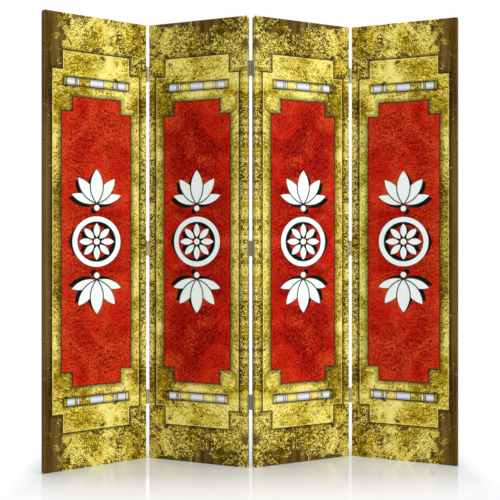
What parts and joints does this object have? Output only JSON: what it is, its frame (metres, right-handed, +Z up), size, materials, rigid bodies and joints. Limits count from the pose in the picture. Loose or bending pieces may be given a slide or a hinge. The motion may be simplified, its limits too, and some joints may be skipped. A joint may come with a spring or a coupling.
{
  "type": "folding screen",
  "caption": "Free-standing folding screen of hinged canvas-covered panels on wooden stretcher frames, printed on one side and folding flat.",
  "frame": {"origin": "on the floor, in the middle of the plan of the open screen as pictured", "axes": "+Z up, +Y away from the viewer towards the screen's back, +X to the viewer's right along the screen"},
  "size_m": [1.381, 0.2408, 1.5],
  "materials": {
    "pine": "planed and unvarnished",
    "printed_canvas": "woven canvas, printed on its face",
    "hinge_steel": "dull plated steel",
    "bright_steel": "zinc-plated steel"
  },
  "bodies": {
    "panel_1": {"panel_1_left_stile": "pine", "panel_1_right_stile": "pine", "panel_1_top_rail": "pine", "panel_1_bottom_rail": "pine", "panel_1_cross_brace": "pine", "panel_1_canvas": "printed_canvas", "panel_1_hinge_screws": "bright_steel", "left_fold_top_three_knuckle_leaf": "hinge_steel", "left_fold_top_hinge_pin": "bright_steel", "left_fold_middle_three_knuckle_leaf": "hinge_steel", "left_fold_middle_hinge_pin": "bright_steel", "left_fold_bottom_three_knuckle_leaf": "hinge_steel", "left_fold_bottom_hinge_pin": "bright_steel"},
    "panel_2": {"panel_2_left_stile": "pine", "panel_2_right_stile": "pine", "panel_2_top_rail": "pine", "panel_2_bottom_rail": "pine", "panel_2_cross_brace": "pine", "panel_2_canvas": "printed_canvas", "panel_2_hinge_screws": "bright_steel", "left_fold_top_two_knuckle_leaf": "hinge_steel", "left_fold_middle_two_knuckle_leaf": "hinge_steel", "left_fold_bottom_two_knuckle_leaf": "hinge_steel", "middle_fold_top_three_knuckle_leaf": "hinge_steel", "middle_fold_top_hinge_pin": "bright_steel", "middle_fold_middle_three_knuckle_leaf": "hinge_steel", "middle_fold_middle_hinge_pin": "bright_steel", "middle_fold_bottom_three_knuckle_leaf": "hinge_steel", "middle_fold_bottom_hinge_pin": "bright_steel"},
    "panel_3": {"panel_3_left_stile": "pine", "panel_3_right_stile": "pine", "panel_3_top_rail": "pine", "panel_3_bottom_rail": "pine", "panel_3_cross_brace": "pine", "panel_3_canvas": "printed_canvas", "panel_3_hinge_screws": "bright_steel", "middle_fold_top_two_knuckle_leaf": "hinge_steel", "middle_fold_middle_two_knuckle_leaf": "hinge_steel", "middle_fold_bottom_two_knuckle_leaf": "hinge_steel", "right_fold_top_three_knuckle_leaf": "hinge_steel", "right_fold_top_hinge_pin": "bright_steel", "right_fold_middle_three_knuckle_leaf": "hinge_steel", "right_fold_middle_hinge_pin": "bright_steel", "right_fold_bottom_three_knuckle_leaf": "hinge_steel", "right_fold_bottom_hinge_pin": "bright_steel"},
    "panel_4": {"panel_4_left_stile": "pine", "panel_4_right_stile": "pine", "panel_4_top_rail": "pine", "panel_4_bottom_rail": "pine", "panel_4_cross_brace": "pine", "panel_4_canvas": "printed_canvas", "panel_4_hinge_screws": "bright_steel", "right_fold_top_two_knuckle_leaf": "hinge_steel", "right_fold_middle_two_knuckle_leaf": "hinge_steel", "right_fold_bottom_two_knuckle_leaf": "hinge_steel"}
  },
  "joints": [
    {"name": "left_fold", "type": "hinge", "parent": "panel_2", "child": "panel_1", "pos_m": [-0.3664, 0.07104, 0.75], "axis": [0, 0, 1], "range_deg": [-52, 128]},
    {"name": "middle_fold", "type": "hinge", "parent": "panel_2", "child": "panel_3", "pos_m": [-0.00932, -0.02679, 0.75], "axis": [0, 0, 1], "range_deg": [-44, 136]},
    {"name": "right_fold", "type": "hinge", "parent": "panel_3", "child": "panel_4", "pos_m": [0.34006, 0.09571, 0.75], "axis": [0, 0, -1], "range_deg": [-45, 135]}
  ]
}
